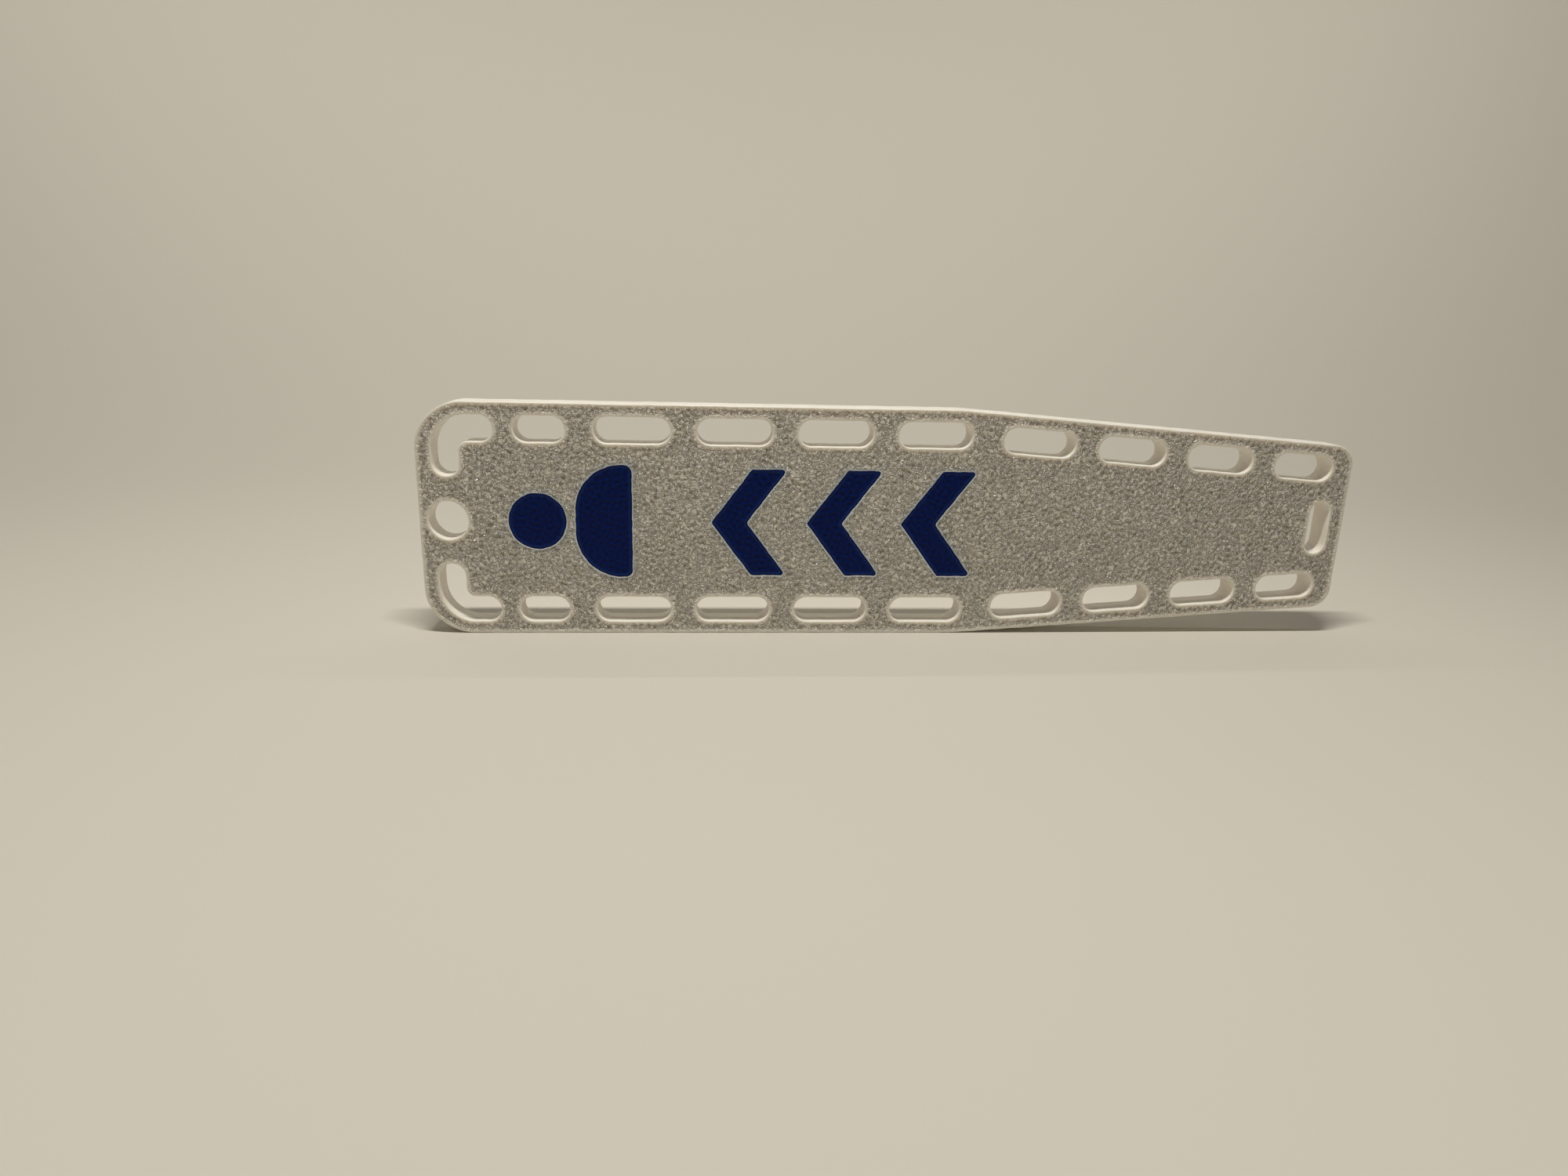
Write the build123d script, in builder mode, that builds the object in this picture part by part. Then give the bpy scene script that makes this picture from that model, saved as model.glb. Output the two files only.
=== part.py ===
from build123d import *
from math import atan2, degrees
import os

# Small printed model of a spine board: a pale plate that stands on its long edge,
# with dark inlays let in flush with its face.
# X runs along the board, head end at -X and foot end at +X. The face looks to -Y and +Z is up.
# The origin is on the floor, under the middle of the plate's length and thickness.

# Plate outline
board_length = 100.0
board_width = 24.5
board_thickness = 3.0
foot_width = 18.1  # width that the taper reaches at the foot end
taper_length = 43.5  # from the foot end to where the taper starts
taper_blend_radius = 30.0  # eases the long edge into the taper
head_corner_radius = 5.0
foot_corner_radius = 2.2
edge_bevel = 0.12  # bevel of every rim, on the face and on the back

# Hand and strap slots, two rows that follow the long edges
slot_width = 2.7
slot_inset = 2.7  # from the long edge to the slots' centre line
short_slot_start = 9.9  # from the head end
short_slot_length = 5.15
long_slot_start = 18.0  # from the head end
long_slot_length = 7.8
long_slot_web = 2.75  # plate left between two long slots, and before the first foot slot
foot_slot_margin = 2.3  # from the foot end to the last slot
foot_slot_lengths = (6.5, 7.2, 7.35, 7.75)  # from the foot end inwards
foot_slot_web = 2.65

# Slots bent round the two head corners
corner_slot_end = 7.85  # from the head end to the end of the leg along the long edge
corner_slot_inset = 3.0  # from the head end to the centre line of the leg across the board
corner_slot_reach = 7.6  # from the long edge to the end of the leg across the board
corner_slot_bend = 2.3  # radius of the bend, on the centre line

# Openings on the centre line
head_hole_diameter = 4.0
head_hole_inset = 2.95  # from the head end to the hole's centre
cross_slot_length = 5.7
cross_slot_width = 2.2
cross_slot_inset = 2.8  # from the foot end to the slot's centre line

# Inlays
inlay_depth = 0.6
inlay_clearance = 0.03  # between an inlay and the wall of its pocket
mark_height = 12.0  # head-end sign: a round head above a pair of shoulders
mark_start = 9.0  # from the head end to the sign
mark_head_diameter = 6.0
mark_gap = 0.9  # between head and shoulders
mark_shoulder_length = 5.9
mark_shoulder_radius = 4.8
mark_hem_radius = 0.8
chevron_count = 3
chevron_start = 30.0  # from the head end to the first tip
chevron_height = 11.5
chevron_sweep = 4.3  # how far the tip stands ahead of the two ends
chevron_stroke = 3.8  # measured along the board
chevron_pitch = 10.15
chevron_corner_radius = 0.3

half_length = board_length / 2
half_width = board_width / 2
taper_x = half_length - taper_length
slot_radius = slot_width / 2

# Both faces have their origin on the board's centre line, with Y across the board.
face = Plane(origin=(0, -board_thickness / 2, half_width), x_dir=(1, 0, 0), z_dir=(0, -1, 0))
back = face.offset(-board_thickness)


def rail_height(x):
    """Distance from the centre line to the slots' centre line: the edge's own, less the inset."""
    past_taper = max(0.0, x - taper_x)
    edge = half_width - past_taper * (board_width - foot_width) / 2 / taper_length
    return edge - slot_inset


def slot_spans():
    """Start and end of each slot along X: one short and the long ones, then those of the foot end."""
    foot_spans = []
    end = half_length - foot_slot_margin
    for length in foot_slot_lengths:
        foot_spans.append((end - length, end))
        end = end - length - foot_slot_web
    first_long = -half_length + long_slot_start
    pitch = long_slot_length + long_slot_web
    long_count = int((foot_spans[-1][0] - first_long) / pitch)
    short_start = -half_length + short_slot_start
    spans = [(short_start, short_start + short_slot_length)]
    for number in range(long_count):
        start = first_long + number * pitch
        spans.append((start, start + long_slot_length))
    return spans + foot_spans


# Outlines of the inlays, each about its own middle, drawn once for the pocket and for the piece
with BuildSketch() as mark_head_outline:
    Circle(mark_head_diameter / 2)

with BuildSketch() as mark_shoulders_outline:
    Rectangle(mark_shoulder_length, mark_height)
    fillet(mark_shoulders_outline.vertices().group_by(Axis.X)[0], radius=mark_shoulder_radius)
    fillet(mark_shoulders_outline.vertices().group_by(Axis.X)[-1], radius=mark_hem_radius)

with BuildSketch() as chevron_outline:
    with BuildLine():
        Polyline(
            (-chevron_sweep / 2, 0),
            (chevron_sweep / 2, chevron_height / 2),
            (chevron_sweep / 2 + chevron_stroke, chevron_height / 2),
            (-chevron_sweep / 2 + chevron_stroke, 0),
            (chevron_sweep / 2 + chevron_stroke, -chevron_height / 2),
            (chevron_sweep / 2, -chevron_height / 2),
            close=True,
        )
    make_face()
    fillet(chevron_outline.vertices(), radius=chevron_corner_radius)

# Name, outline and place along X of each inlay
mark_head_x = -half_length + mark_start + mark_head_diameter / 2
mark_shoulders_x = mark_head_x + mark_head_diameter / 2 + mark_gap + mark_shoulder_length / 2
inlays = [
    ("head_mark_disc", mark_head_outline.sketch, mark_head_x),
    ("head_mark_shoulders", mark_shoulders_outline.sketch, mark_shoulders_x),
]
for number in range(chevron_count):
    chevron_x = -half_length + chevron_start + chevron_sweep / 2 + number * chevron_pitch
    inlays.append((f"chevron_{number + 1}", chevron_outline.sketch, chevron_x))


with BuildPart() as board:
    # Plate, rectangular at the head and tapered towards the foot
    with BuildSketch(back) as outline:
        with BuildLine():
            Polyline(
                (-half_length, -half_width),
                (-half_length, half_width),
                (taper_x, half_width),
                (half_length, foot_width / 2),
                (half_length, -foot_width / 2),
                (taper_x, -half_width),
                close=True,
            )
        make_face()
        fillet(outline.vertices().group_by(Axis.X)[0], radius=head_corner_radius)
        fillet(outline.vertices().group_by(Axis.X)[-1], radius=foot_corner_radius)
        fillet(outline.vertices().sort_by_distance((taper_x, 0))[:2], radius=taper_blend_radius)
    extrude(amount=board_thickness)

    # Openings, all through the plate
    with BuildSketch(face):
        for side in (1, -1):
            for start, end in slot_spans():
                near = Vector(start + slot_radius, side * rail_height(start + slot_radius))
                far = Vector(end - slot_radius, side * rail_height(end - slot_radius))
                turn = degrees(atan2(far.Y - near.Y, far.X - near.X))
                with Locations((near + far) / 2):
                    SlotCenterToCenter((far - near).length, slot_width, rotation=turn)
            with BuildLine():
                leg_x = -half_length + corner_slot_inset
                leg_y = side * rail_height(leg_x)
                corner_slot_line = FilletPolyline(
                    (-half_length + corner_slot_end - slot_radius, leg_y),
                    (leg_x, leg_y),
                    (leg_x, side * (half_width - corner_slot_reach + slot_radius)),
                    radius=corner_slot_bend,
                )
                offset(corner_slot_line, amount=slot_radius)
            make_face()
        with Locations((-half_length + head_hole_inset, 0)):
            Circle(head_hole_diameter / 2)
        with Locations((half_length - cross_slot_inset, 0)):
            SlotOverall(cross_slot_length, cross_slot_width, rotation=90)
    extrude(amount=-board_thickness, mode=Mode.SUBTRACT)

    # Bevelled rims on the face and on the back
    rims = board.faces().sort_by(Axis.Y)[0].edges() + board.faces().sort_by(Axis.Y)[-1].edges()
    chamfer(rims, length=edge_bevel)

    # Pockets of the inlays
    with BuildSketch(face):
        for name, inlay_outline, x in inlays:
            with Locations((x, 0)):
                add(inlay_outline)
    extrude(amount=-inlay_depth, mode=Mode.SUBTRACT)

board.part.label = "board"
os.makedirs("parts", exist_ok=True)
export_step(board.part, "parts/board.step")

for name, inlay_outline, x in inlays:
    with BuildPart() as inlay:
        with BuildSketch(face):
            with Locations((x, 0)):
                add(inlay_outline)
            offset(amount=-inlay_clearance)
        extrude(amount=-inlay_depth)
    inlay.part.label = name
    export_step(inlay.part, f"parts/{name}.step")
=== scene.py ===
import math

import bpy
import numpy as np
from mathutils import Matrix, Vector
from mathutils.geometry import delaunay_2d_cdt


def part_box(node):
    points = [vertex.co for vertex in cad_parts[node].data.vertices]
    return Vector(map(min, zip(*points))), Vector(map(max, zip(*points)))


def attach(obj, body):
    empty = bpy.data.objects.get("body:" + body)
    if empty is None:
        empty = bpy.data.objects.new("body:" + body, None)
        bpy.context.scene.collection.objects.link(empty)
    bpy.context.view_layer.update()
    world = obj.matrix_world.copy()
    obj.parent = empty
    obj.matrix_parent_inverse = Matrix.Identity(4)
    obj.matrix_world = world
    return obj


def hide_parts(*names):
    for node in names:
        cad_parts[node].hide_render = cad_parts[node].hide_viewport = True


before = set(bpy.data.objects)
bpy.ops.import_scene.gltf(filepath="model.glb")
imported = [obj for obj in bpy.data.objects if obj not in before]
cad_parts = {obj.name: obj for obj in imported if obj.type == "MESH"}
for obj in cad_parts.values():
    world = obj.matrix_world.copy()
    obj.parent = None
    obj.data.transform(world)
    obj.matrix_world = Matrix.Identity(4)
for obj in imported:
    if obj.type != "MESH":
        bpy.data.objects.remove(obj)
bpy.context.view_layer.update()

# Small printed spine board: a white plate with a grained face, and navy inlays flush in that face.
# X runs along the board with the head end at -X, the face looks to -Y and the board stands on z = 0.
# Every size is in metres.
mm = 0.001
rng = np.random.default_rng(183)

# Plate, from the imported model
plate_low, plate_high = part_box("board")
half_length = (plate_high.x - plate_low.x) / 2
half_width = (plate_high.z - plate_low.z) / 2
face_y, back_y = plate_low.y, plate_high.y
centre_z = (plate_low.z + plate_high.z) / 2

# Plate outline
half_foot_width = 9.05 * mm
taper_length = 43.5 * mm
taper_blend_radius = 30.0 * mm
head_corner_radius = 5.0 * mm
foot_corner_radius = 2.2 * mm
taper_x = half_length - taper_length

# Slots
slot_width = 2.7 * mm
slot_radius = slot_width / 2
slot_inset = 2.7 * mm
short_slot_start = 9.9 * mm
short_slot_length = 5.15 * mm
long_slot_start = 18.0 * mm
long_slot_length = 7.8 * mm
long_slot_web = 2.75 * mm
long_slot_count = 4
foot_slot_margin = 2.3 * mm
foot_slot_lengths = np.array((6.5, 7.2, 7.35, 7.75)) * mm
foot_slot_web = 2.65 * mm
corner_slot_end = 7.85 * mm
corner_slot_inset = 3.0 * mm
corner_slot_reach = 7.6 * mm
corner_slot_bend = 2.3 * mm
head_hole_radius = 2.0 * mm
head_hole_inset = 2.95 * mm
cross_slot_length = 5.7 * mm
cross_slot_width = 2.2 * mm
cross_slot_inset = 2.8 * mm

# Inlays
inlay_depth = 0.6 * mm
inlay_clearance = 0.03 * mm
mark_height = 12.0 * mm
mark_start = 9.0 * mm
mark_head_radius = 3.0 * mm
mark_gap = 0.9 * mm
mark_shoulder_length = 5.9 * mm
mark_shoulder_radius = 4.8 * mm
mark_hem_radius = 0.8 * mm
chevron_start = 30.0 * mm
chevron_height = 11.5 * mm
chevron_sweep = 4.3 * mm
chevron_stroke = 3.8 * mm
chevron_pitch = 10.15 * mm
chevron_corner_radius = 0.3 * mm

# Finish of the print
rim_radius = 0.12 * mm  # rounding of every outer rim
inlay_rim_radius = 0.06 * mm
grain_depth = 0.11 * mm  # from the tops to the hollows of the moulded grain
grain_waves = 90
grain_shortest = 0.46 * mm  # wave length
grain_longest = 0.82 * mm
grain_sharpness = 1.3
grain_fade = 0.42 * mm  # smooth band along every outer rim
pocket_grain_fade = 0.14 * mm  # the grain runs nearly up to the inlays
stain_reach = 0.22 * mm
inlay_grain_fade = 0.3 * mm
rim_wander = 0.03 * mm  # unevenness of the outer rims
wander_waves = 24
wander_shortest = 1.2 * mm  # wave length
wander_longest = 6 * mm
inlay_wander = 0.05 * mm  # unevenness of the inlays' borders
layer_height = 0.2 * mm
extrusion_width = 0.42 * mm

# Spacing of the surface points
edge_spacing = 0.24 * mm
face_pitch = 0.19 * mm
back_pitch = 0.6 * mm
inlay_pitch = 0.12 * mm
face_gap = 0.6 * face_pitch  # no inner point stands nearer to a rim
back_gap = 0.5 * back_pitch
inlay_gap = 0.6 * inlay_pitch
face_shake = 0.08  # share of the pitch by which a point of the face is moved
FACE, WALL, BACK = 0, 1, 2


def rounded_loop(corners, radii, spacing=edge_spacing):
    """A closed loop, counter-clockwise, in which each corner becomes an arc tangent to its two sides.
    The arc starts radius * tan(turn / 2) before the corner and turns about a centre one radius to the
    side. Returns the points and, for each, the unit normal that points out of the loop."""
    corners = np.asarray(corners, float)
    radii = np.broadcast_to(np.asarray(radii, float), len(corners))
    leaving = np.roll(corners, -1, axis=0) - corners
    leaving /= np.linalg.norm(leaving, axis=1, keepdims=True)
    arriving = np.roll(leaving, 1, axis=0)
    cross = arriving[:, 0] * leaving[:, 1] - arriving[:, 1] * leaving[:, 0]
    turn = np.arctan2(cross, (arriving * leaving).sum(axis=1))
    cut = (radii * np.tan(abs(turn) / 2))[:, None]
    begin = corners - arriving * cut
    outward = np.stack([arriving[:, 1], -arriving[:, 0]], axis=1)
    signed_radius = (np.sign(turn) * radii)[:, None]
    centre = begin - outward * signed_radius
    points, normals = [], []
    for corner in range(len(corners)):
        steps = max(4, math.ceil(abs(turn[corner]) * radii[corner] / spacing))
        start = math.atan2(outward[corner, 1], outward[corner, 0])
        angle = start + turn[corner] * np.linspace(0, 1, steps + 1)
        normal = np.stack([np.cos(angle), np.sin(angle)], axis=1)
        arc = centre[corner] + signed_radius[corner] * normal
        run = np.roll(begin, -1, axis=0)[corner] - arc[-1]
        run_length = np.linalg.norm(run)
        share = np.arange(0, 1, 1 / max(1, math.ceil(run_length / spacing - 1e-6)))[:, None]
        straight = arc[-1] + run * share
        points += [arc[:-1], straight if run_length > 1e-9 else straight[:0]]
        normals += [normal[:-1], np.broadcast_to(normal[-1], straight.shape)[:len(points[-1])]]
    return np.concatenate(points), np.concatenate(normals)


def mirrored(loop):
    """The same loop on the other side of the centre line, still counter-clockwise."""
    points, normals = loop
    flip = np.array([1, -1])
    return points[::-1] * flip, normals[::-1] * flip


def rail_height(x):
    """Distance from the centre line to the slots' centre line, which keeps its inset from the long edge."""
    past_taper = max(0.0, x - taper_x)
    return half_width - past_taper * (half_width - half_foot_width) / taper_length - slot_inset


def slot_spans():
    """Start and end of each slot along X: the short one, the long ones, then those of the foot end."""
    starts = [short_slot_start - half_length]
    lengths = [short_slot_length]
    for number in range(long_slot_count):
        starts.append(long_slot_start - half_length + number * (long_slot_length + long_slot_web))
        lengths.append(long_slot_length)
    end = half_length - foot_slot_margin
    for length in foot_slot_lengths:
        starts.append(end - length)
        lengths.append(length)
        end -= length + foot_slot_web
    return [(start, start + length) for start, length in zip(starts, lengths)]


def slot_loop(start, end):
    """One slot of the upper row: a bar with full round ends about its centre line along the edge."""
    near = np.array([start + slot_radius, rail_height(start + slot_radius)])
    far = np.array([end - slot_radius, rail_height(end - slot_radius)])
    along = (far - near) / np.linalg.norm(far - near) * slot_radius
    across = np.array([-along[1], along[0]])
    corners = [near - along - across, far + along - across, far + along + across, near - along + across]
    return rounded_loop(corners, slot_radius)


def corner_slot_loop():
    """The bent slot of the upper head corner: two legs, full round ends, one outer and one inner bend."""
    leg_x = corner_slot_inset - half_length
    leg_z = rail_height(leg_x)
    end_x = corner_slot_end - half_length
    end_z = half_width - corner_slot_reach
    left, right = leg_x - slot_radius, leg_x + slot_radius
    low, high = leg_z - slot_radius, leg_z + slot_radius
    corners = [(left, end_z), (right, end_z), (right, low), (end_x, low), (end_x, high), (left, high)]
    inner, outer = corner_slot_bend - slot_radius, corner_slot_bend + slot_radius
    return rounded_loop(corners, [slot_radius, slot_radius, inner, slot_radius, slot_radius, outer])


def bar_loop(x, length, height, radii):
    """A rectangle about a point on the centre line, with rounded corners."""
    low_x, high_x = x - length / 2, x + length / 2
    corners = [(low_x, -height / 2), (high_x, -height / 2), (high_x, height / 2), (low_x, height / 2)]
    return rounded_loop(corners, radii)


def plate_outline():
    """Rectangular head, straight taper to the foot."""
    lower = [(-half_length, -half_width), (taper_x, -half_width), (half_length, -half_foot_width)]
    radii = [head_corner_radius, taper_blend_radius, foot_corner_radius]
    upper = [(x, -z) for x, z in reversed(lower)]
    return rounded_loop(lower + upper, radii + radii[::-1])


def openings():
    """Every hole and slot through the plate."""
    upper = [slot_loop(start, end) for start, end in slot_spans()] + [corner_slot_loop()]
    hole_x = head_hole_inset - half_length
    head_hole = bar_loop(hole_x, 2 * head_hole_radius, 2 * head_hole_radius, head_hole_radius)
    cross_x = half_length - cross_slot_inset
    cross_slot = bar_loop(cross_x, cross_slot_width, cross_slot_length, cross_slot_width / 2)
    return upper + [mirrored(loop) for loop in upper] + [head_hole, cross_slot]


def inlay_outlines():
    """Outline of each inlay by node name: head disc, shoulders and the three chevrons."""
    disc_x = mark_start + mark_head_radius - half_length
    shoulders_x = disc_x + mark_head_radius + mark_gap + mark_shoulder_length / 2
    outlines = {
        "head_mark_disc": bar_loop(disc_x, 2 * mark_head_radius, 2 * mark_head_radius, mark_head_radius),
        "head_mark_shoulders": bar_loop(
            shoulders_x,
            mark_shoulder_length,
            mark_height,
            [mark_shoulder_radius, mark_hem_radius, mark_hem_radius, mark_shoulder_radius],
        ),
    }
    tip, tail, half_height = -chevron_sweep / 2, chevron_sweep / 2, chevron_height / 2
    shape = [
        (tip, 0),
        (tail, -half_height),
        (tail + chevron_stroke, -half_height),
        (tip + chevron_stroke, 0),
        (tail + chevron_stroke, half_height),
        (tail, half_height),
    ]
    for name in ("chevron_1", "chevron_2", "chevron_3"):
        number = int(name[-1]) - 1
        x = chevron_start + chevron_sweep / 2 + number * chevron_pitch - half_length
        outlines[name] = rounded_loop(np.array(shape) + (x, 0), chevron_corner_radius)
    for name, (loop, outward) in outlines.items():
        uneven = (1 + np.clip(wander_relief(2 * loop), -1, 1)) / 2
        outlines[name] = loop - outward * (inlay_wander * uneven)[:, None], outward
    return outlines


def wave_field(count, shortest, longest):
    """A still, random relief: the sum of plane waves of random heading, length and phase.
    Returns a function of points that gives values of about -1 to 1."""
    heading = rng.uniform(0, 2 * math.pi, count)
    number = 2 * math.pi / rng.uniform(shortest, longest, count)
    phase = rng.uniform(0, 2 * math.pi, count)
    waves = np.stack([np.cos(heading), np.sin(heading)]) * number

    def relief(points):
        return np.cos(points @ waves + phase).sum(axis=1) / math.sqrt(count)

    return relief


grain_relief = wave_field(grain_waves, grain_shortest, grain_longest)
wander_relief = wave_field(wander_waves, wander_shortest, wander_longest)


def grain_height(points):
    """The grain that the build plate leaves, 1 on its tops and 0 in its hollows: the random relief,
    squeezed by a hyperbolic tangent so that tops are flat and hollows are short trenches."""
    return (1 + np.tanh(grain_sharpness * grain_relief(points))) / 2


def smooth_step(value):
    """0 below 0, 1 above 1, and a smooth rise of 3 t^2 - 2 t^3 between them."""
    share = np.clip(value, 0, 1)
    return share * share * (3 - 2 * share)


def clearance(points, rim, into):
    """How far inside the material each point lies: its offset from the nearest rim point, measured
    along that rim point's direction into the material."""
    result = np.empty(len(points))
    squares = (rim ** 2).sum(axis=1)
    for first in range(0, len(points), 4096):
        block = points[first:first + 4096]
        nearest = (squares - 2 * block @ rim.T).argmin(axis=1)
        result[first:first + 4096] = ((block - rim[nearest]) * into[nearest]).sum(axis=1)
    return result


def lattice(low, high, pitch):
    """A triangular lattice: rows half a root of three pitches apart, every second row half a pitch on."""
    rows = np.arange(low[1], high[1], pitch * math.sqrt(3) / 2)
    columns = np.arange(low[0], high[0], pitch)
    x = columns[None, :] + (np.arange(len(rows)) % 2)[:, None] * pitch / 2
    z = np.broadcast_to(rows[:, None], x.shape)
    return np.stack([x.ravel(), z.ravel()], axis=1)


def joined(borders):
    """Rim points and their directions into the material, of several borders together."""
    rim = np.concatenate([border[1] for border in borders])
    into = np.concatenate([border[2] for border in borders])
    return rim, into


class Skin:
    """Points and triangles of one closed piece, gathered patch by patch. Each point also carries three
    marks for the finishes: grain (1 on tops), stain (0 to 1) and rim, the metres from the nearest rim,
    which beside a pocket grow faster, by grain_fade over pocket_grain_fade."""

    def __init__(self):
        self.points, self.marks, self.triangles, self.finishes = [], [], [], []
        self.count = 0

    def add_points(self, flat, y, marks):
        """Takes points of the plate's plane, at depth y, and returns their numbers."""
        block = np.stack([flat[:, 0], np.broadcast_to(y, len(flat)), flat[:, 1] + centre_z], axis=1)
        self.points.append(block)
        self.marks.append(np.broadcast_to(marks, (len(flat), 3)))
        self.count += len(flat)
        return np.arange(self.count - len(flat), self.count)

    def add_triangles(self, triangles, finish):
        self.triangles.append(triangles)
        self.finishes.append(np.full(len(triangles), finish))

    def wall(self, loop, into, inset, y, finish, air_inside, stain=0.0):
        """A profile carried along a loop: its row k lies inset[k] into the material, at depth y[k].
        Returns the first and the last row as borders, for sheets to start from."""
        rows = [loop + into * step for step in inset]
        numbers = self.add_points(np.concatenate(rows), np.repeat(y, len(loop)), (1, 0, stain))
        numbers = numbers.reshape(len(inset), len(loop))
        here, there = numbers, np.roll(numbers, -1, axis=1)
        a, b, c, d = (part.ravel() for part in (here[:-1], there[:-1], there[1:], here[1:]))
        around = (a, b, c, d) if air_inside else (a, d, c, b)
        for first, second, third in ((0, 1, 2), (0, 2, 3)):
            corners = [around[first], around[second], around[third]]
            self.add_triangles(np.stack(corners, axis=1), finish)
        return (numbers[0], rows[0], into), (numbers[-1], rows[-1], into)

    def sheet(self, borders, inner, inner_y, inner_marks, finish, towards_front):
        """A sheet between borders: the constrained triangulation of their points and the inner ones,
        less every triangle whose middle lies outside the material."""
        inner_numbers = self.add_points(inner, inner_y, inner_marks)
        numbers = np.concatenate([border[0] for border in borders] + [inner_numbers])
        rim, into = joined(borders)
        flat = np.concatenate([rim, inner])
        links, first = [], 0
        for border in borders:
            index = first + np.arange(len(border[0]))
            links.append(np.stack([index, np.roll(index, -1)], axis=1))
            first += len(index)
        links = np.concatenate(links)
        found = delaunay_2d_cdt((flat / mm).tolist(), links.tolist(), [], 0, 1e-7)
        if len(found[0]) != len(flat):
            raise ValueError("borders of the sheet cross or touch")
        triangles = np.array(found[2])
        corners = flat[triangles]
        first_side, second_side = corners[:, 1] - corners[:, 0], corners[:, 2] - corners[:, 0]
        turned = first_side[:, 0] * second_side[:, 1] < first_side[:, 1] * second_side[:, 0]
        triangles[turned] = triangles[turned][:, ::-1]
        triangles = triangles[clearance(corners.mean(axis=1), rim, into) > 0]
        self.add_triangles(numbers[triangles if towards_front else triangles[:, ::-1]], finish)

    def piece(self, name, finishes):
        """The Blender object, riding on the body and standing for the CAD node of that name."""
        points, marks = np.concatenate(self.points), np.concatenate(self.marks)
        triangles = np.concatenate(self.triangles)
        mesh = bpy.data.meshes.new(name)
        mesh.vertices.add(len(points))
        mesh.vertices.foreach_set("co", points.astype(np.float32).ravel())
        mesh.loops.add(triangles.size)
        mesh.loops.foreach_set("vertex_index", triangles.astype(np.int32).ravel())
        mesh.polygons.add(len(triangles))
        mesh.polygons.foreach_set("loop_start", np.arange(0, triangles.size, 3, dtype=np.int32))
        mesh.polygons.foreach_set("material_index", np.concatenate(self.finishes).astype(np.int32))
        mesh.polygons.foreach_set("use_smooth", np.ones(len(triangles), bool))
        mesh.update(calc_edges=True)
        for column, mark in enumerate(("grain", "rim", "stain")):
            attribute = mesh.attributes.new(mark, "FLOAT", "POINT")
            attribute.data.foreach_set("value", marks[:, column].astype(np.float32))
        for finish in finishes:
            mesh.materials.append(finish)
        made = bpy.data.objects.new(name + "_print", mesh)
        bpy.context.scene.collection.objects.link(made)
        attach(made, "root")
        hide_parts(name)
        return made


def quarter_rim(radius, steps):
    """Profile of a rounded rim, from the face to the wall: inset r (1 - sin t), depth r (1 - cos t)."""
    turn = np.linspace(0, math.pi / 2, steps + 1)
    return radius * (1 - np.sin(turn)), radius * (1 - np.cos(turn))


def printed_plate(finishes):
    """The white plate: grained face, rounded rims, smooth walls, flat back and the inlays' pockets."""
    skin = Skin()
    inset, depth = quarter_rim(rim_radius, 4)
    middle = np.array([0.5])
    wall_inset = np.concatenate([inset, 0 * middle, inset[::-1]])
    wall_y = np.concatenate([face_y + depth, face_y + middle * (back_y - face_y), back_y - depth[::-1]])
    outline, out_of_plate = plate_outline()
    loops = [(outline, -out_of_plate, False)]
    loops += [(loop, out_of_hole, True) for loop, out_of_hole in openings()]
    front, back = [], []
    for loop, into, air_inside in loops:
        uneven = loop + into * (rim_wander * (1 + np.clip(wander_relief(loop), -1, 1)) / 2)[:, None]
        near, far = skin.wall(uneven, into, wall_inset, wall_y, WALL, air_inside)
        front.append(near)
        back.append(far)
    pockets = []
    pocket_inset, pocket_depth = quarter_rim(inlay_rim_radius, 2)
    for loop, out_of_pocket in inlay_outlines().values():
        near, far = skin.wall(
            loop,
            out_of_pocket,
            np.concatenate([pocket_inset, [0]]),
            np.concatenate([face_y + pocket_depth, [face_y + inlay_depth]]),
            WALL,
            True,
            1.0,
        )
        pockets.append(near)
        numbers, floor_rim, out = far
        skin.sheet([(numbers, floor_rim, -out)], np.empty((0, 2)), 0, (1, 0, 0), WALL, True)
    corner = np.array([half_length, half_width])
    grid = lattice(-corner, corner, face_pitch)
    grid += rng.uniform(-face_shake, face_shake, grid.shape) * face_pitch
    inside = clearance(grid, *joined(front + pockets))
    grid = grid[inside > face_gap]
    to_pocket = clearance(grid, *joined(pockets)).clip(0)
    fade = np.minimum(clearance(grid, *joined(front)) / grain_fade, to_pocket / pocket_grain_fade)
    height = 1 - (1 - grain_height(grid)) * smooth_step(fade)
    marks = np.stack([height, fade * grain_fade, np.exp(-to_pocket / stain_reach)], axis=1)
    skin.sheet(front + pockets, grid, face_y + grain_depth * (1 - height), marks, FACE, True)
    grid = lattice(-corner, corner, back_pitch)
    inside = clearance(grid, *joined(back))
    grid, inside = grid[inside > back_gap], inside[inside > back_gap]
    marks = np.stack([np.ones(len(grid)), inside, np.zeros(len(grid))], axis=1)
    skin.sheet(back, grid, back_y, marks, BACK, False)
    return skin.piece("board", finishes)


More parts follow.
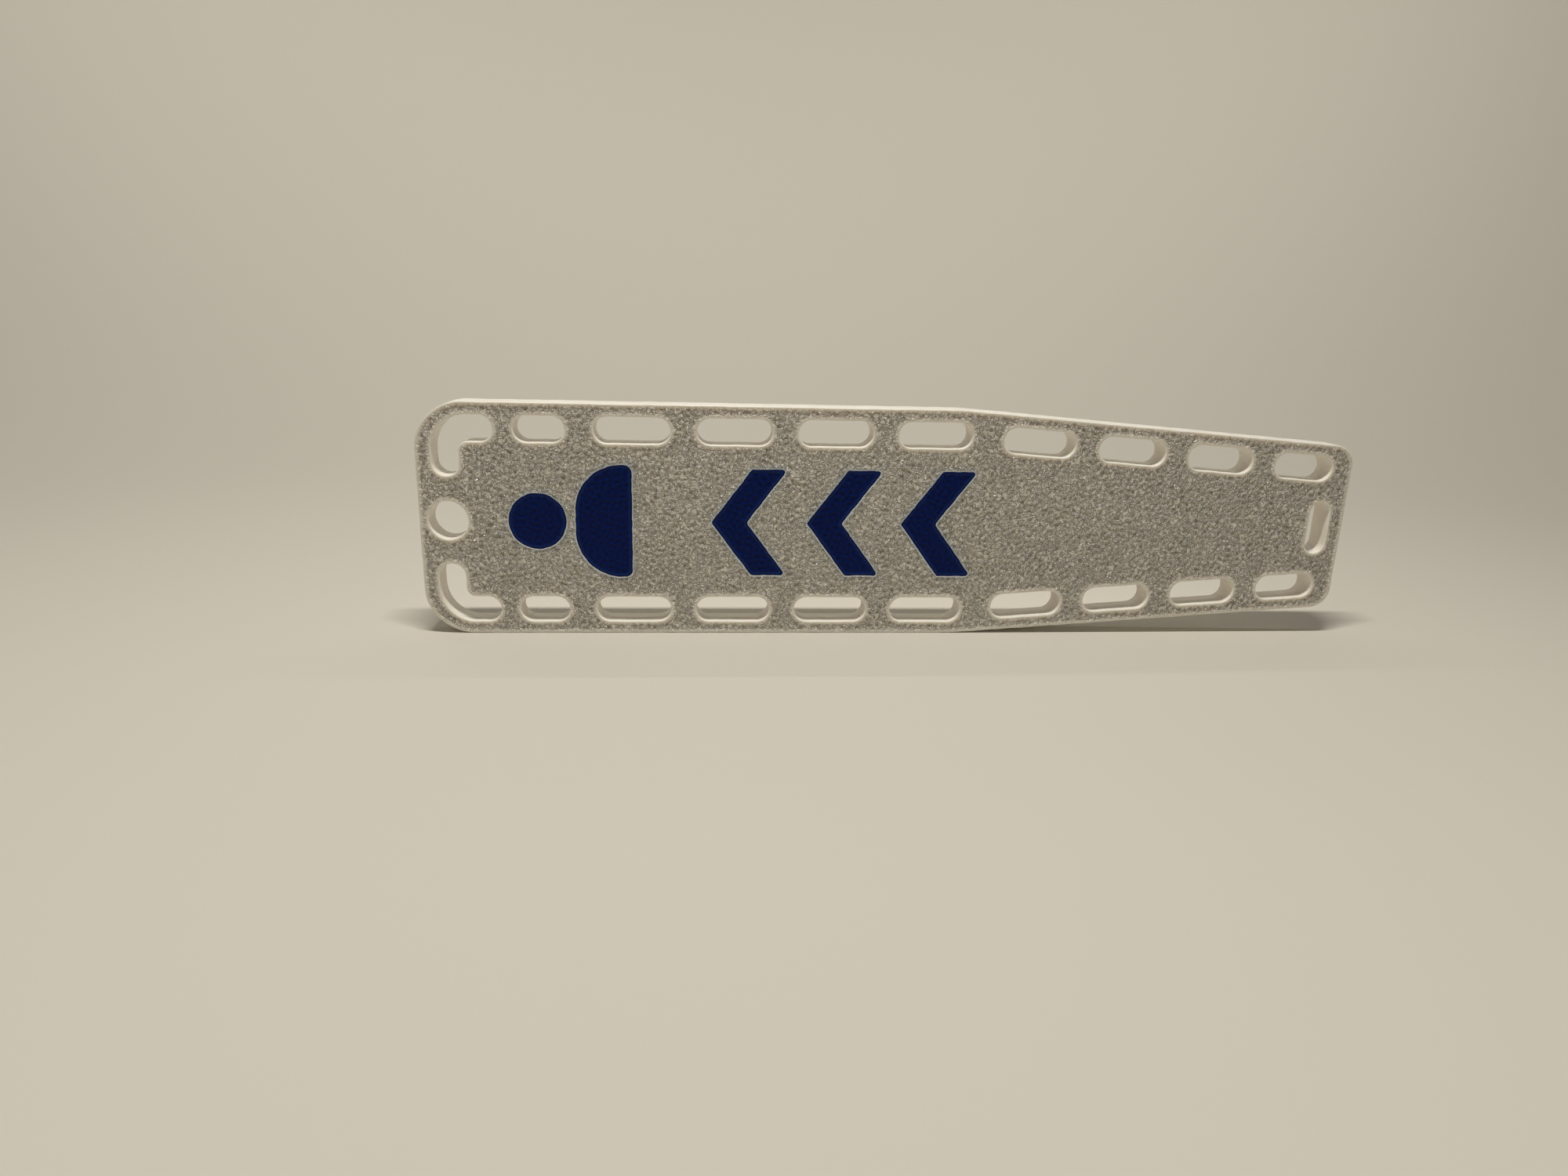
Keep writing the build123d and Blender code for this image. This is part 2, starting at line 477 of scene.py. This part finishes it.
def printed_inlay(name, outline, finish):
    """A navy inlay: the pocket's outline less the clearance, with the face's grain running across it."""
    skin = Skin()
    loop, outward = outline
    loop = loop - outward * inlay_clearance
    inset, depth = quarter_rim(inlay_rim_radius, 2)
    near, far = skin.wall(
        loop,
        -outward,
        np.concatenate([inset, [0]]),
        np.concatenate([face_y + depth, [face_y + inlay_depth]]),
        0,
        False,
    )
    grid = lattice(loop.min(axis=0), loop.max(axis=0), inlay_pitch)
    inside = clearance(grid, near[1], near[2])
    grid, inside = grid[inside > inlay_gap], inside[inside > inlay_gap]
    height = 1 - (1 - grain_height(grid)) * smooth_step(inside / inlay_grain_fade)
    marks = np.stack([height, inside, np.zeros(len(grid))], axis=1)
    skin.sheet([near], grid, face_y + grain_depth * (1 - height), marks, 0, True)
    skin.sheet([far], np.empty((0, 2)), 0, (1, 0, 0), 0, False)
    return skin.piece(name, [finish])


def new_finish(name):
    """An empty finish: the material, its node tree and its Principled shader."""
    material = bpy.data.materials.new(name)
    material.use_nodes = True
    return material, material.node_tree, material.node_tree.nodes["Principled BSDF"]


def node(tree, kind, sockets, **settings):
    """One node of a tree, with its settings made and its sockets linked or given values."""
    made = tree.nodes.new("ShaderNode" + kind)
    for setting, value in settings.items():
        setattr(made, setting, value)
    for socket, value in sockets.items():
        if isinstance(value, bpy.types.NodeSocket):
            tree.links.new(value, made.inputs[socket])
        else:
            made.inputs[socket].default_value = value
    return made


def sums(tree, operation, first, second):
    """The result of one arithmetic step on two values."""
    return node(tree, "Math", {0: first, 1: second}, operation=operation).outputs[0]


def spread(tree, value, low, high, to_low, to_high):
    """A value carried from the range low..high to to_low..to_high, and held inside it."""
    sockets = {"Value": value, "From Min": low, "From Max": high, "To Min": to_low, "To Max": to_high}
    return node(tree, "MapRange", sockets).outputs["Result"]


def blended(tree, share, first, second):
    """Two colours mixed by a share."""
    mix = node(tree, "Mix", {0: share, 6: first, 7: second}, data_type="RGBA")
    return mix.outputs[2]


def noise(tree, place, scale, detail=2.0, distortion=0.0):
    sockets = {"Vector": place, "Scale": scale, "Detail": detail, "Distortion": distortion}
    return node(tree, "TexNoise", sockets).outputs["Fac"]


def mark(tree, name):
    return node(tree, "Attribute", {}, attribute_name=name).outputs["Fac"]


def object_place(tree):
    return node(tree, "TexCoord", {}).outputs["Object"]


# Finishes: noise scales are in waves per metre, depths in metres
plastic_ior = 1.46
face_blotch_scale = 160
wall_blotch_scale = 300
back_blotch_scale = 140
navy_blotch_scale = 400
wall_relief_scale = 900
back_wave_scale = 500
gloss_scale = 1400  # face and inlays
wall_gloss_scale = 700
back_gloss_scale = 900
fine_grain_scale = 2200
fine_grain_depth = 0.95 * mm
navy_grain_scale = 3000
navy_grain_depth = 0.02 * mm
layer_line_depth = 0.015 * mm
back_line_depth = 0.04 * mm
speck_scale = 230.0
speck_rarity = 0.93  # share of the cells that have no speck
white_high = (0.82, 0.77, 0.685, 1)
white_low = (0.70, 0.65, 0.56, 1)
# painted highlight: the same filament as the face, painted lighter for the lit walls and top edge
wall_white_highlight = (0.88, 0.84, 0.76, 1)
stain_blue = (0.42, 0.49, 0.55, 1)
speck_brown = (0.06, 0.045, 0.03, 1)
navy_high = (0.001, 0.012, 0.105, 1)
navy_low = (0.0005, 0.005, 0.060, 1)
navy_line = (0.010, 0.032, 0.14, 1)


def white_plastic(shader):
    """Body of the white filament, the same on face, walls and back: a little light passes into it."""
    shader.inputs["Subsurface Weight"].default_value = 0.3
    shader.inputs["Subsurface Radius"].default_value = (1.0, 0.75, 0.45)
    shader.inputs["Subsurface Scale"].default_value = 0.9 * mm
    shader.inputs["IOR"].default_value = plastic_ior


def grained_white():
    """Face of the plate: hollows of the grain a little darker with painted shade and a little dirt, a pale
    blue stain beside the inlays, faint blotches, and a finer bump on top of the modelled grain. Rare brown
    specks stand in a pattern in space, and none of them shows on the face as it is."""
    material, tree, shader = new_finish("grained_white_plastic")
    white_plastic(shader)
    place = object_place(tree)
    blotch = spread(tree, noise(tree, place, face_blotch_scale, 3.0), 0.3, 0.7, 0.0, 1.0)
    # painted shade and a little dirt: the grain's hollows darker, its tops lighter
    grain_shading = spread(tree, mark(tree, "grain"), 0.0, 0.9, 0.0, 1.0)
    level = sums(tree, "ADD", sums(tree, "MULTIPLY", blotch, 0.35), sums(tree, "MULTIPLY", grain_shading, 0.3))
    colour = blended(tree, level, white_low, white_high)
    colour = blended(tree, spread(tree, mark(tree, "stain"), 0.05, 1.0, 0.0, 0.75), colour, stain_blue)
    cells = node(tree, "TexVoronoi", {"Vector": place, "Scale": speck_scale})
    near = spread(tree, cells.outputs["Distance"], 0.012, 0.03, 1.0, 0.0)
    pick = node(tree, "SeparateColor", {0: cells.outputs["Color"]}).outputs[0]
    rare = sums(tree, "GREATER_THAN", pick, speck_rarity)
    colour = blended(tree, sums(tree, "MULTIPLY", near, rare), colour, speck_brown)
    tree.links.new(colour, shader.inputs["Base Color"])
    gloss = spread(tree, noise(tree, place, gloss_scale, 2.0), 0.3, 0.7, 0.16, 0.34)
    tree.links.new(gloss, shader.inputs["Roughness"])
    fine = spread(tree, noise(tree, place, fine_grain_scale, 1.0, 1.2), 0.36, 0.62, 0.0, 1.0)
    inner = spread(tree, mark(tree, "rim"), 0.05 * mm, 0.4 * mm, 0.12, 1.0)
    bump = node(tree, "Bump", {"Strength": inner, "Distance": fine_grain_depth, "Height": fine})
    tree.links.new(bump.outputs[0], shader.inputs["Normal"])
    return material


def layered_white():
    """Walls of the plate and of its openings: printed layers, as fine lines that run with the face, in a
    white painted lighter than the face's as a painted highlight.
    """
    material, tree, shader = new_finish("layered_white_plastic")
    white_plastic(shader)
    place = object_place(tree)
    blotch = spread(tree, noise(tree, place, wall_blotch_scale, 2.0), 0.3, 0.7, 0.3, 1.0)
    # painted highlight: the walls take a white lighter than the face's
    tree.links.new(blended(tree, blotch, white_high, wall_white_highlight), shader.inputs["Base Color"])
    depth = node(tree, "SeparateXYZ", {0: place}).outputs["Y"]
    line = sums(tree, "COSINE", sums(tree, "MULTIPLY", depth, 2 * math.pi / layer_height), 0.0)
    uneven = sums(tree, "MULTIPLY", noise(tree, place, wall_relief_scale, 2.0), 1.5)
    relief = sums(tree, "ADD", sums(tree, "MULTIPLY", line, 0.5), uneven)
    bump = node(tree, "Bump", {"Strength": 0.6, "Distance": layer_line_depth, "Height": relief})
    tree.links.new(bump.outputs[0], shader.inputs["Normal"])
    gloss = spread(tree, noise(tree, place, wall_gloss_scale, 2.0), 0.3, 0.7, 0.34, 0.5)
    tree.links.new(gloss, shader.inputs["Roughness"])
    return material


def raster_white():
    """Back of the plate, the last printed layer: three lines along every rim, diagonal lines inside."""
    material, tree, shader = new_finish("raster_white_plastic")
    white_plastic(shader)
    place = object_place(tree)
    blotch = spread(tree, noise(tree, place, back_blotch_scale, 3.0), 0.3, 0.7, 0.2, 1.0)
    tree.links.new(blended(tree, blotch, white_low, white_high), shader.inputs["Base Color"])
    axes = node(tree, "SeparateXYZ", {0: place})
    shake = sums(tree, "MULTIPLY", noise(tree, place, back_wave_scale, 1.0), 0.12 * mm)
    slant = sums(tree, "MULTIPLY", sums(tree, "ADD", axes.outputs["X"], axes.outputs["Z"]), math.sqrt(0.5))
    slant = sums(tree, "ADD", slant, shake)
    rim = mark(tree, "rim")
    across = sums(tree, "MULTIPLY", slant, 2 * math.pi / extrusion_width)
    along = sums(tree, "MULTIPLY", rim, 2 * math.pi / extrusion_width)
    filled = sums(tree, "GREATER_THAN", rim, 3 * extrusion_width)
    phase = node(tree, "Mix", {0: filled, 2: along, 3: across}, data_type="FLOAT").outputs[0]
    bead = sums(tree, "ABSOLUTE", sums(tree, "COSINE", sums(tree, "MULTIPLY", phase, 0.5), 0.0), 0.0)
    bump = node(tree, "Bump", {"Strength": 0.8, "Distance": back_line_depth, "Height": bead})
    tree.links.new(bump.outputs[0], shader.inputs["Normal"])
    gloss = spread(tree, noise(tree, place, back_gloss_scale, 2.0), 0.3, 0.7, 0.32, 0.5)
    tree.links.new(gloss, shader.inputs["Roughness"])
    return material


def grained_navy():
    """Inlays: very dark navy filament, with painted shade in the grain's hollows and a slightly lighter
    printed line just inside the border.
    """
    material, tree, shader = new_finish("grained_navy_plastic")
    shader.inputs["IOR"].default_value = plastic_ior
    shader.inputs["Specular IOR Level"].default_value = 0.12
    place = object_place(tree)
    # painted shade: the navy darker in the grain's hollows, lighter on its tops
    grain_shading = spread(tree, mark(tree, "grain"), 0.0, 1.0, 0.0, 0.6)
    blotch = noise(tree, place, navy_blotch_scale, 2.0)
    level = sums(tree, "ADD", grain_shading, sums(tree, "MULTIPLY", blotch, 0.4))
    colour = blended(tree, level, navy_low, navy_high)
    rim = mark(tree, "rim")
    line = sums(tree, "MULTIPLY", spread(tree, rim, 0.05 * mm, 0.16 * mm, 0.0, 1.0),
                spread(tree, rim, 0.2 * mm, 0.32 * mm, 1.0, 0.0))
    colour = blended(tree, sums(tree, "MULTIPLY", line, 0.6), colour, navy_line)
    tree.links.new(colour, shader.inputs["Base Color"])
    gloss = spread(tree, noise(tree, place, gloss_scale, 2.0), 0.3, 0.7, 0.38, 0.56)
    tree.links.new(gloss, shader.inputs["Roughness"])
    fine = noise(tree, place, navy_grain_scale, 2.0, 0.4)
    bump = node(tree, "Bump", {"Strength": 0.8, "Distance": navy_grain_depth, "Height": fine})
    tree.links.new(bump.outputs[0], shader.inputs["Normal"])
    return material


# Studio: a pale floor that bends up into a backdrop, near behind the board and far in front of it
floor_radius = 0.13
floor_bend = 0.30
floor_reach = 2.0
floor_rings = [1e-4, 0.05, 0.09]  # radii inside the bend
floor_bend_steps = 24
floor_turn_steps = 96
floor_colour = (0.64, 0.604, 0.531, 1)
floor_roughness = 0.8
lamp_colour = (1.0, 0.97, 0.90)
overhead_place = (-0.022, -0.053, 0.24)
overhead_length, overhead_width, overhead_power = 0.09, 0.010, 0.46
backdrop_place = (-0.010, 0.15, 0.30)
backdrop_length, backdrop_width, backdrop_power = 0.50, 0.02, 0.66
backdrop_tilt = math.radians(52)
air_strength = 0.13


def studio_floor():
    """A flat floor and a quarter bend, turned about the vertical and stretched towards the front by
    1 + reach * ((1 - sin a) / 2)^2 at angle a. Point (i, j) is profile point i at angle j."""
    turn = np.linspace(0, math.pi / 2, floor_bend_steps + 1)
    radius = np.concatenate([floor_rings, floor_radius + floor_bend * np.sin(turn)])
    height = np.concatenate([[0] * len(floor_rings), floor_bend * (1 - np.cos(turn))])
    angle = np.arange(floor_turn_steps) * 2 * math.pi / floor_turn_steps
    stretch = 1 + floor_reach * ((1 - np.sin(angle)) / 2) ** 2
    x = radius[:, None] * stretch * np.cos(angle)
    y = radius[:, None] * stretch * np.sin(angle)
    z = np.broadcast_to(height[:, None], x.shape)
    points = np.stack([x, y, z], axis=-1).reshape(-1, 3)
    number = np.arange(len(points)).reshape(x.shape)
    there = np.roll(number, -1, axis=1)
    quads = np.stack([number[:-1], number[1:], there[1:], there[:-1]], axis=-1).reshape(-1, 4)
    middle = number[0].tolist()
    mesh = bpy.data.meshes.new("studio_floor")
    mesh.from_pydata(points.tolist(), [], quads.tolist() + [middle])
    mesh.shade_smooth()
    made = bpy.data.objects.new("studio_floor", mesh)
    bpy.context.scene.collection.objects.link(made)
    material, tree, shader = new_finish("pale_studio_floor")
    shader.inputs["Base Color"].default_value = floor_colour
    shader.inputs["Roughness"].default_value = floor_roughness
    mesh.materials.append(material)


def strip_light(name, place, length, width, power, tilt=0.0):
    """A long soft lamp parallel to the board, shining down, or tilted from there towards the backdrop."""
    lamp = bpy.data.lights.new(name, "AREA")
    lamp.shape = "RECTANGLE"
    lamp.size, lamp.size_y = length, width
    lamp.energy = power
    lamp.color = lamp_colour
    made = bpy.data.objects.new(name, lamp)
    made.location = place
    made.rotation_euler = (tilt, 0, 0)
    bpy.context.scene.collection.objects.link(made)


def studio_lights():
    strip_light("overhead_strip", overhead_place, overhead_length, overhead_width, overhead_power)
    strip_light(
        "backdrop_strip", backdrop_place, backdrop_length, backdrop_width, backdrop_power, backdrop_tilt
    )
    world = bpy.data.worlds.new("studio_air")
    world.use_nodes = True
    world.node_tree.nodes["Background"].inputs[0].default_value = (*lamp_colour, 1)
    world.node_tree.nodes["Background"].inputs[1].default_value = air_strength
    bpy.context.scene.world = world


# Camera of the photograph
camera_place = (-20.85 * mm, -105.18 * mm, 34.87 * mm)
camera_yaw = math.radians(4.85)
camera_pitch = math.radians(15.96)
camera_roll = math.radians(1.54)
camera_lens = 22.96
camera_sensor = 36.0


def photo_camera():
    data = bpy.data.cameras.new("camera")
    data.lens, data.sensor_width = camera_lens, camera_sensor
    data.clip_start = 0.005
    made = bpy.data.objects.new("camera", data)
    turn = Matrix.Rotation(-camera_yaw, 4, "Z") @ Matrix.Rotation(math.pi / 2 - camera_pitch, 4, "X")
    made.matrix_world = Matrix.Translation(camera_place) @ turn @ Matrix.Rotation(camera_roll, 4, "Z")
    bpy.context.scene.collection.objects.link(made)
    bpy.context.scene.camera = made


plate = printed_plate([grained_white(), layered_white(), raster_white()])
navy = grained_navy()
for node_name, outline in inlay_outlines().items():
    printed_inlay(node_name, outline, navy)
studio_floor()
studio_lights()
photo_camera()
bpy.context.scene.view_settings.view_transform = "Standard"
